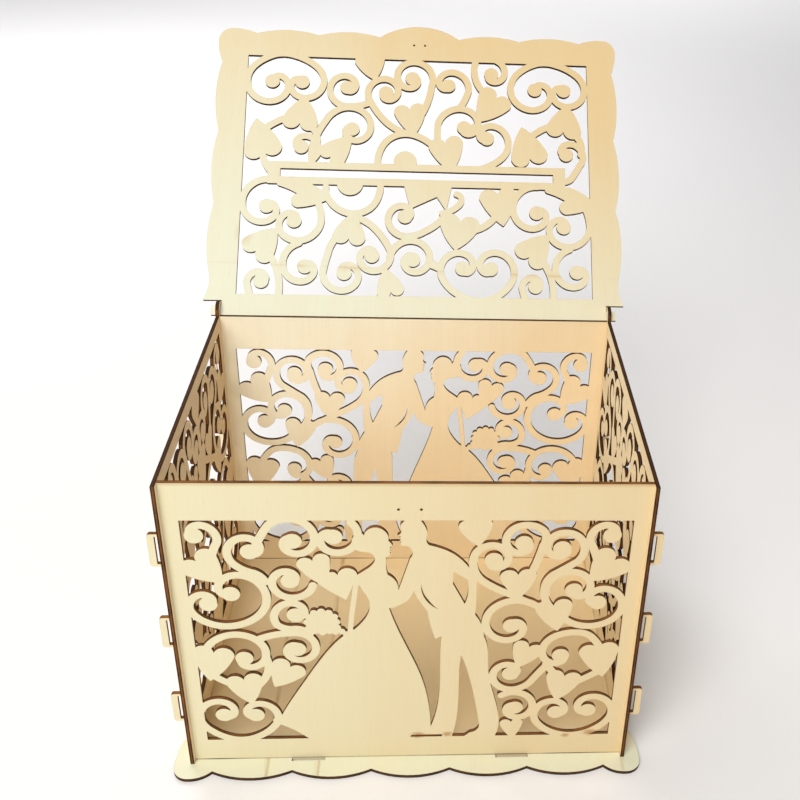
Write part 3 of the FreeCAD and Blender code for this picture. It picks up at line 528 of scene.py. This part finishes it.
    def _joint(self, graph: ShaderGraph, along: Value, across: Value) -> Value:
        """Return how strong the line is where two sheets of veneer meet.

        Args:
            graph: the material's graph.
            along: place along the fibres.
            across: place across them, which is along the line.

        Returns:
            Its share of the colour.
        """
        off = abs(along - self.splice - across * self.slant)
        line = off.fall(*self.joint_fade)
        bleed = off.fall(0.0, self.joint_bleed)
        stain = STAIN_TRACE.of(STAINS.draw(graph, across, along))
        least, stained = self.joint_share
        return line * (least + stain * stained) + bleed * stain * stained

    def _knots(self, graph: ShaderGraph, along: Value, across: Value, side: Value) -> Value:
        """Return small pin knots.

        Args:
            graph: the material's graph.
            along: place along the fibres.
            across: place across them.
            side: a number of the panel's and the face's own.

        Returns:
            How strong they are, from 0 to 1.
        """
        rate_along, rate_across = self.knot_rate
        spot = graph.stack(along * rate_along, across * rate_across, side)
        settings = {"voronoi_dimensions": "3D", "feature": "F1"}
        inputs = {"Vector": spot, "Scale": 1.0, "Randomness": 1.0}
        return graph.node("ShaderNodeTexVoronoi", settings, inputs, "Distance").fall(*self.knot_fade)

    def _heat_marks(self, graph: ShaderGraph, veneer: Value, along: Value, across: Value,
                    end: float) -> Value:
        """Return the veneer with its single heat marks and the toasted upper end of its fibres.

        Args:
            graph: the material's graph.
            veneer: the clean face's colour.
            along: place along the fibres.
            across: place across them.
            end: where the fibres end.

        Returns:
            The marked face's colour.
        """
        colour = veneer
        for scorch in self.scorches:
            colour = graph.mix(scorch.draw(graph, along, across), colour, self.flare)
        if self.toast:
            near, far = self.toast_fade
            band = along.rise(end - far, end - near)
            uneven = self.toast_least + SINGES.draw(graph, across, along)
            colour = graph.mix(band * uneven * self.toast, colour, self.smoke)
        return colour

    def _scorch_and_seam_shade(self, graph: ShaderGraph, veneer: Value, place: Value) -> Value:
        """Return the veneer with smoke along its cut edges, a few flares and a dark seam at the base, which
        is partly char and partly painted shade.

        Args:
            graph: the material's graph.
            veneer: the clean face's colour.
            place: the point on the piece.

        Returns:
            The scorched face's colour.
        """
        near = self._near_cut(graph)
        haze = HAZE_TRACE.of(HAZE.draw(graph, place))
        flares = FLARE_TRACE.of(FLARES.draw(graph, place))
        height = graph.dot(place, Face.UP.vector) - self.seat
        foot = height.rise(-self.seat_slack, 0.0) * height.fall(*self.seam_fade)
        smoke_least, smoke_hazy = self.smoke_share
        seam_least, seam_hazy = self.seam_share
        colour = graph.mix(near * (smoke_least + smoke_hazy * haze), veneer, self.smoke)
        colour = graph.mix(near * flares, colour, self.flare)
        # Painted shade, in part: the seam is partly the char of the wall's bottom edge and partly the shade
        # of the thin gap between wall and base.
        return graph.mix(foot * (seam_least + seam_hazy * haze) * self.seam, colour, self.char.dark)

    def _near_cut(self, graph: ShaderGraph) -> Value:
        """Return how near a face's point is to a cut edge.

        Args:
            graph: the material's graph.

        Returns:
            The nearness, from 0 to 1.
        """
        settings = {"samples": self.smoke_samples}
        rounded = graph.node("ShaderNodeBevel", settings, {"Radius": self.smoke_reach})
        true = graph.node("ShaderNodeNewGeometry", output="Normal")
        return (1 - graph.dot(rounded, true)).rise(0.0, self.smoke_turn)


@dataclass(frozen=True)
class Sheet:
    """How a panel lies in the box and how its veneer runs.

    face and fibre are unit vectors, middle is the sheet's middle along face, fibre_end is where the fibres
    end, warmer is the way that the colour turns from pale to warm, which is veneer tone and on the base and
    the back panel also painted light and shade, and warm_span is the panel's reach along it; seed gives the
    panel its own figure.
    """

    face: Vector
    fibre: Vector
    middle: float
    fibre_end: float
    warmer: Vector
    warm_span: Span
    seed: float


@dataclass
class Panel:
    """One piece of the box: its node, its plywood, the way that it faces and how its veneer lies.

    warmer is the way that the colour turns from pale to warm, which is veneer tone and on the base and the
    back panel also painted light and shade, and warm_share is the part of the panel's reach, from 0 to 1,
    over which it does.
    """

    node: str
    finish: PlywoodFinish
    face: Vector
    fibre: Vector
    warmer: Vector
    seed: float
    warm_share: Span = (0.0, 1.0)

    def dress(self, nodes: dict[str, bpy.types.Object]) -> None:
        """Give the panel its plywood.

        Args:
            nodes: the frame's nodes by name.
        """
        piece = nodes[self.node]
        middle = sum(self._span(piece, self.face)) / 2
        least, most = self._span(piece, self.warmer)
        span = tuple(least + share * (most - least) for share in self.warm_share)
        fibre_end = self._span(piece, self.fibre)[1]
        sheet = Sheet(self.face, self.fibre, middle, fibre_end, self.warmer, span, self.seed)
        piece.data.materials.clear()
        piece.data.materials.append(self.finish.build(f"{self.node}_plywood", sheet))
        LOG.info("%s: plywood, middle of the sheet at %.2f mm", self.node, middle / MM)

    @staticmethod
    def _span(piece: bpy.types.Object, way: Vector) -> Span:
        """Return how far a piece reaches along a direction, from its least to its most."""
        reaches = [vertex.co.dot(way) for vertex in piece.data.vertices]
        return min(reaches), max(reaches)


@dataclass
class Case:
    """The walls and the base, which stay put."""

    # Painted bounce light: the base's warm end, reached just behind the front panel, stands in for the warm
    # light inside the box.
    base_ply: PlywoodFinish = PlywoodFinish(
        (0.73, 0.72, 0.535), (0.835, 0.665, 0.395), marks=(-0.0903, -0.0583, 0.1367), seam=0.0,
        char=BLACK_CHAR)
    front_ply: PlywoodFinish = PlywoodFinish(
        (0.775, 0.712, 0.478), (0.745, 0.592, 0.345), toast=0.55, scorches=(
            Scorch(0.0045, 0.0217, 4.6 * MM), Scorch(0.0235, 0.0222, 3.6 * MM),
            Scorch(0.1001, 0.0196, 2.8 * MM), Scorch(0.1163, 0.0220, 4.8 * MM)))
    # Painted light and shade: the pale end is brighter than the wood, standing in for light on the back
    # panel's upper inner face, and the shift to warm towards the right and downwards is partly veneer tone
    # and partly painted shade lower in the box.
    back_ply: PlywoodFinish = PlywoodFinish(
        (0.95, 0.88, 0.68), (0.87, 0.685, 0.43), figure=0.9, char=BLACK_CHAR)
    # Painted light: both ends of the side panels' colours are lifted to near white, standing in for more
    # light on their inner faces than the lamps give.
    left_ply: PlywoodFinish = PlywoodFinish(
        (0.95, 0.765, 0.52), (0.93, 0.70, 0.43), figure=0.7, rim=0.78, char=UMBER_CHAR)
    right_ply: PlywoodFinish = PlywoodFinish(
        (0.96, 0.83, 0.58), (0.95, 0.78, 0.49), figure=0.7, rim=0.62, char=SEPIA_CHAR)

    def dress(self, nodes: dict[str, bpy.types.Object]) -> None:
        """Finish every wall and the base.

        Args:
            nodes: the frame's nodes by name.
        """
        upright = Fibre.UPRIGHT.vector
        depth = Fibre.ALONG_DEPTH.vector
        front, back = Face.FRONT.vector, Face.BACK.vector
        left, right = Face.LEFT.vector, Face.RIGHT.vector
        up = Face.UP.vector
        panels = [
            # The short warm_share puts the base's painted warm bounce light just inside the box.
            Panel("base_plate", self.base_ply, up, depth, back, seed=1.3, warm_share=(0.05, 0.2)),
            Panel("front_panel", self.front_ply, front, upright, right, seed=8.1),
            # The back panel's warming downwards is partly painted shade lower in the box.
            Panel("back_panel", self.back_ply, back, upright, right - up, seed=23.4, warm_share=(0.08, 0.58)),
            Panel("left_side_panel", self.left_ply, left, upright, back, seed=41.9),
            Panel("right_side_panel", self.right_ply, right, upright, front, seed=57.2),
        ]
        for panel in panels:
            panel.dress(nodes)


@dataclass
class Lid:
    """The fretted lid, which leans back on its pivot tabs; lengths are metres, the lean is in degrees.

    warm_slant is how far the way that its veneer warms turns to the right.
    """

    ply: PlywoodFinish = PlywoodFinish(
        (0.745, 0.745, 0.575), (0.725, 0.55, 0.293), splice=0.2616, slant=-0.0257, char=BLACK_CHAR)
    node: str = "lid"
    lean: float = 44.5
    warm_slant: float = 0.6
    seed: float = 71.6

    def dress(self, nodes: dict[str, bpy.types.Object]) -> None:
        """Finish the lid, whose face looks forwards and up at rest.

        Args:
            nodes: the frame's nodes by name.
        """
        lean = math.radians(self.lean)
        face = Vector((0.0, -math.cos(lean), math.sin(lean)))
        length = Vector((0.0, math.sin(lean), math.cos(lean)))
        right_up = length + Face.RIGHT.vector * self.warm_slant
        Panel(self.node, self.ply, face, length, right_up, self.seed).dress(nodes)


@dataclass(frozen=True)
class Lamp:
    """A square soft light: where it hangs, the point that it looks at, its side, its power and its tint."""

    name: str
    place: Point
    target: Point
    side: float
    watts: float
    tint: Rgb

    def hang(self) -> None:
        """Put the light in the scene."""
        data = bpy.data.lights.new(self.name, "AREA")
        data.size = self.side
        data.energy = self.watts
        data.color = self.tint
        lamp = bpy.data.objects.new(self.name, data)
        aim = Vector(self.target) - Vector(self.place)
        turn = aim.to_track_quat("-Z", "Y").to_matrix().to_4x4()
        lamp.matrix_world = Matrix.Translation(self.place) @ turn
        bpy.context.scene.collection.objects.link(lamp)
        LOG.info("%s lamp: %.0f W", self.name, self.watts)


@dataclass(frozen=True)
class FloorFinish:
    """Pale matt paper: its colour, how much darker its mottled parts are, and its sheen."""

    colour: Rgb = (0.84, 0.825, 0.815)
    shade: float = 0.97
    mottle: Mottle = Mottle(2.2, 2.0)
    roughness: float = 0.6
    gloss: float = 0.2

    def build(self) -> bpy.types.Material:
        """Make the paper.

        Returns:
            The material.
        """
        paper = bpy.data.materials.new("floor_paper")
        graph = ShaderGraph(paper)
        tone = self.mottle.draw(graph, graph.node("ShaderNodeTexCoord", output="Object"))
        colour = graph.mix(tone, self.colour, tuple(self.shade * part for part in self.colour))
        shader = graph.node("ShaderNodeBsdfPrincipled", None, {
            "Base Color": colour, "Roughness": self.roughness, "Specular IOR Level": self.gloss})
        graph.node("ShaderNodeOutputMaterial", None, {"Surface": shader})
        return paper


@dataclass
class Studio:
    """A pale floor, soft lights and the photographer's camera; lengths are metres, angles degrees.

    focal_px is the focal length, and centre_px the lens's axis from the left, both in pixels of a frame
    that is frame_px wide.
    """

    floor: FloorFinish = FloorFinish()
    floor_half: float = 2.2
    floor_front: float = -1.3
    floor_back: float = 3.2
    sky_colour: Rgb = (0.96, 0.97, 1.0)
    sky_strength: float = 0.21
    wall_colour: Rgb = (0.90, 0.895, 0.89)
    lamps: tuple[Lamp, ...] = (
        Lamp("key", (-0.75, -1.6, 1.6), BOX_MIDDLE, 1.5, 25.2, WARM_TINT),
        Lamp("high", (-0.3, -1.3, 2.1), BOX_MIDDLE, 1.3, 33.2, WARM_TINT),
        Lamp("backdrop", (-1.2, 1.6, 1.6), (-0.6, 2.3, 0.0), 1.6, 22.0, COOL_TINT),
        Lamp("far_backdrop", (0.5, 3.2, 1.4), (0.5, 3.6, 0.0), 1.6, 24.0, COOL_TINT),
        Lamp("rear", (-0.65, 1.5, 1.2), BOX_MIDDLE, 1.2, 12.0, COOL_TINT),
    )
    eye: Point = (0.0117, -0.6095, 0.5698)
    yaw: float = 5.31
    pitch: float = 30.45
    roll: float = 3.21
    focal_px: float = 1100.8
    centre_px: float = 520.0
    frame_px: float = 800.0
    sensor: float = 36.0

    def build(self) -> None:
        """Make the floor, the lights and the camera."""
        self._floor()
        self._sky()
        for lamp in self.lamps:
            lamp.hang()
        self._camera()
        bpy.context.scene.view_settings.view_transform = "Standard"

    def _floor(self) -> None:
        """Lay a plain pale floor just under the base."""
        half, front, back = self.floor_half, self.floor_front, self.floor_back
        mesh = bpy.data.meshes.new("floor")
        outline = [(-half, front, 0.0), (half, front, 0.0), (half, back, 0.0), (-half, back, 0.0)]
        mesh.from_pydata(outline, [], [(0, 1, 2, 3)])
        mesh.materials.append(self.floor.build())
        floor = bpy.data.objects.new("floor", mesh)
        bpy.context.scene.collection.objects.link(floor)

    def _sky(self) -> None:
        """Light the scene evenly from all round, before pale walls."""
        world = bpy.data.worlds.new("studio")
        graph = ShaderGraph(world)
        seen = graph.node("ShaderNodeLightPath", output="Is Camera Ray")
        glow = graph.node("ShaderNodeBackground", None, {
            "Color": (*self.sky_colour, 1.0), "Strength": self.sky_strength})
        wall = graph.node("ShaderNodeBackground", None, {"Color": (*self.wall_colour, 1.0), "Strength": 1.0})
        mixed = graph.node("ShaderNodeMixShader", None, {0: seen, 1: glow, 2: wall})
        graph.node("ShaderNodeOutputWorld", None, {"Surface": mixed})
        bpy.context.scene.world = world

    def _camera(self) -> None:
        """Set the camera where the photograph was taken from."""
        yaw, pitch, roll = (math.radians(angle) for angle in (self.yaw, self.pitch, self.roll))
        ahead = Vector((math.sin(yaw) * math.cos(pitch), math.cos(yaw) * math.cos(pitch), -math.sin(pitch)))
        level = Vector((math.cos(yaw), -math.sin(yaw), 0.0))
        rise = level.cross(ahead)
        right = level * math.cos(roll) + rise * math.sin(roll)
        up = rise * math.cos(roll) - level * math.sin(roll)
        data = bpy.data.cameras.new("camera")
        data.sensor_width = self.sensor
        data.lens = self.focal_px / self.frame_px * self.sensor
        data.shift_x = (self.frame_px / 2 - self.centre_px) / self.frame_px
        camera = bpy.data.objects.new("camera", data)
        turn = Matrix((right, up, -ahead)).transposed().to_4x4()
        camera.matrix_world = Matrix.Translation(self.eye) @ turn
        bpy.context.scene.collection.objects.link(camera)
        bpy.context.scene.camera = camera


def clear_scene() -> None:
    """Remove what a new file starts with."""
    for thing in list(bpy.data.objects):
        bpy.data.objects.remove(thing)


def main() -> None:
    """Dress the box and set up the studio."""
    logging.basicConfig(level=logging.INFO)
    clear_scene()
    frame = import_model()
    Case().dress(frame["nodes"])
    Lid().dress(frame["nodes"])
    Studio().build()


if __name__ == "__main__":
    main()
